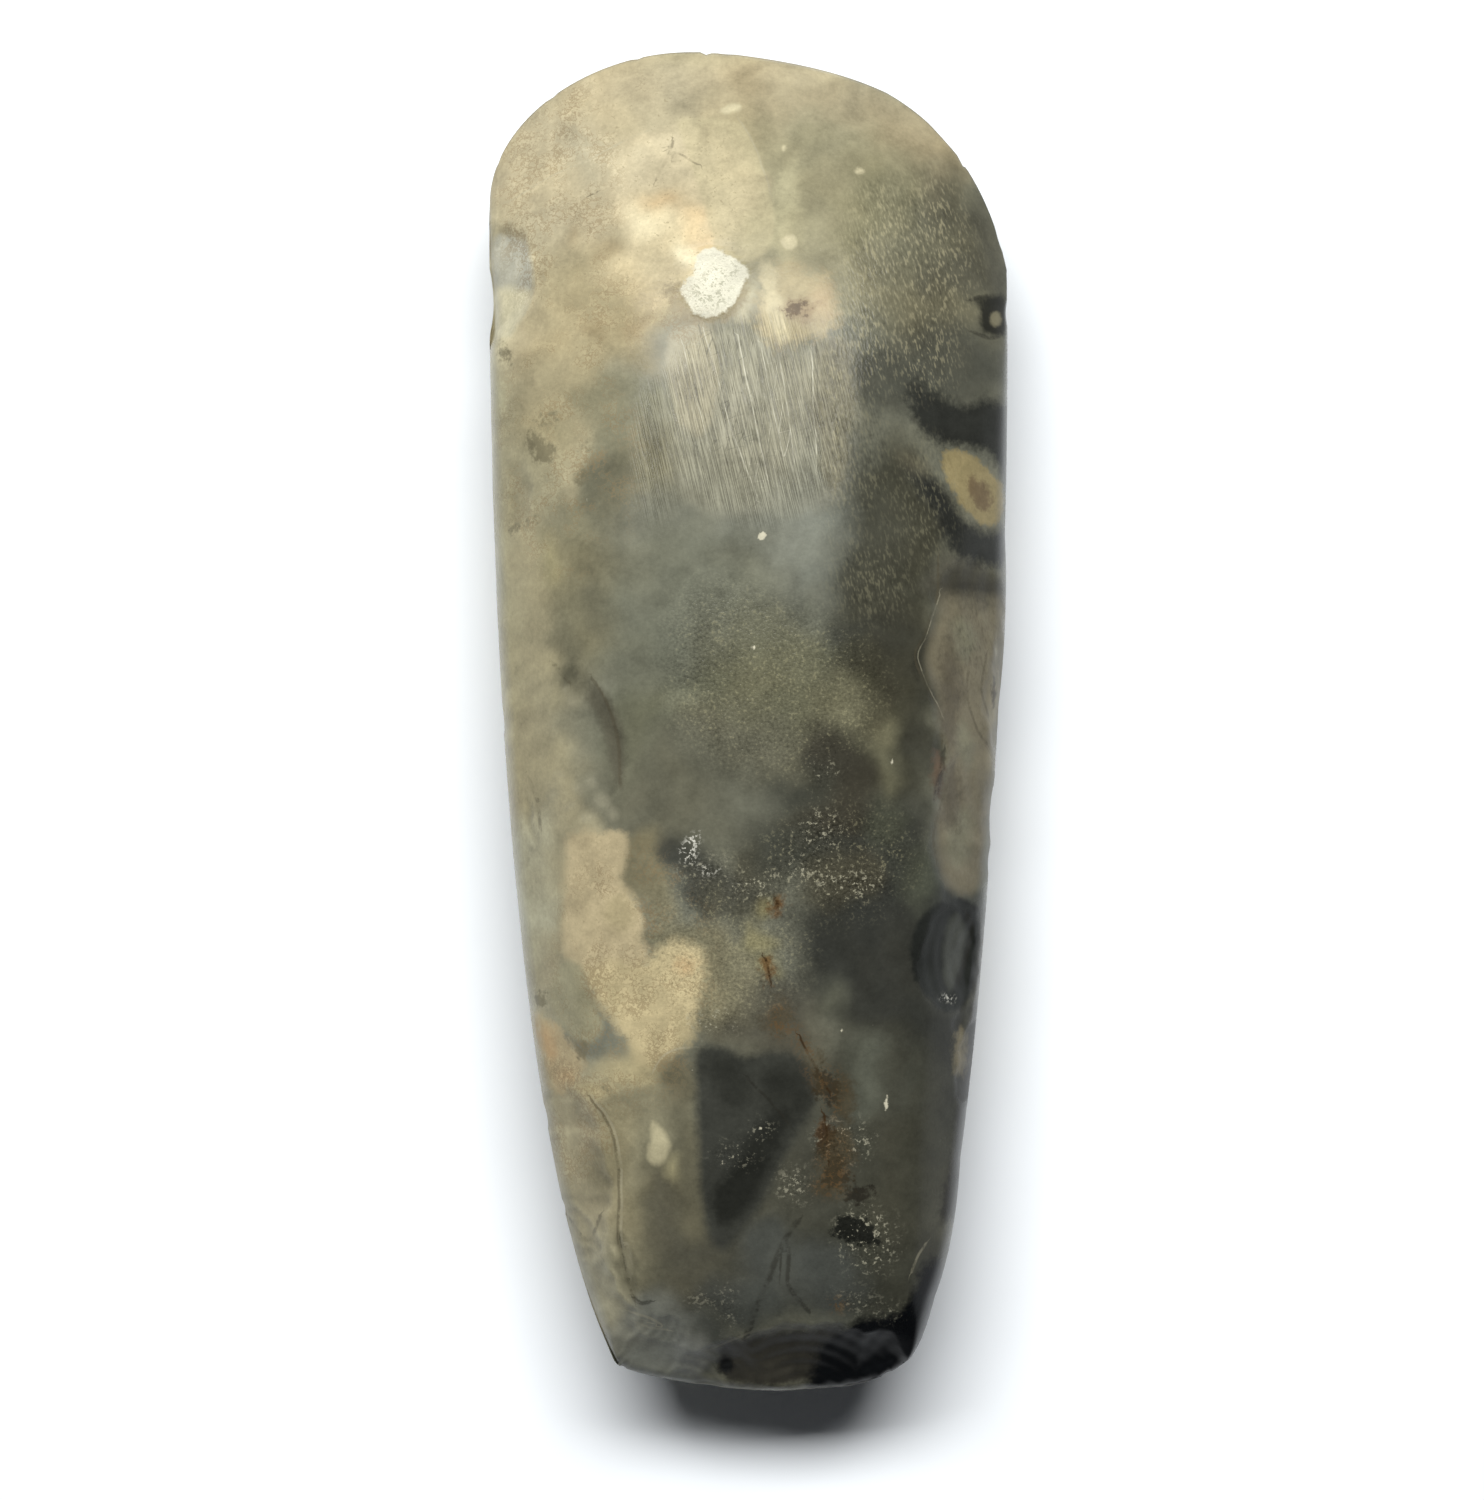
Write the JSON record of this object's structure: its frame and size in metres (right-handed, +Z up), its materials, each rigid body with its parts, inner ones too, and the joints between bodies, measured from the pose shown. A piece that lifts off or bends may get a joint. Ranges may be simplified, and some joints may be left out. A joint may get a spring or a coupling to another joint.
{
  "type": "polished flint axe",
  "caption": "Ground and polished stone axe head with a wide curved cutting edge, a convex lens-like body and a narrow squared butt, lying flat.",
  "frame": {"origin": "middle of the bounding box's base, on the worn flat of the underside", "axes": "+Y along the axe from the butt to the cutting edge, +X across it, +Z up out of the upper face"},
  "size_m": [0.058, 0.15, 0.0334],
  "materials": {
    "flint": "ground and polished, mottled cream, tan and grey to black, duller in the flake scars"
  },
  "bodies": {
    "root": {"axe": "flint"}
  },
  "joints": []
}
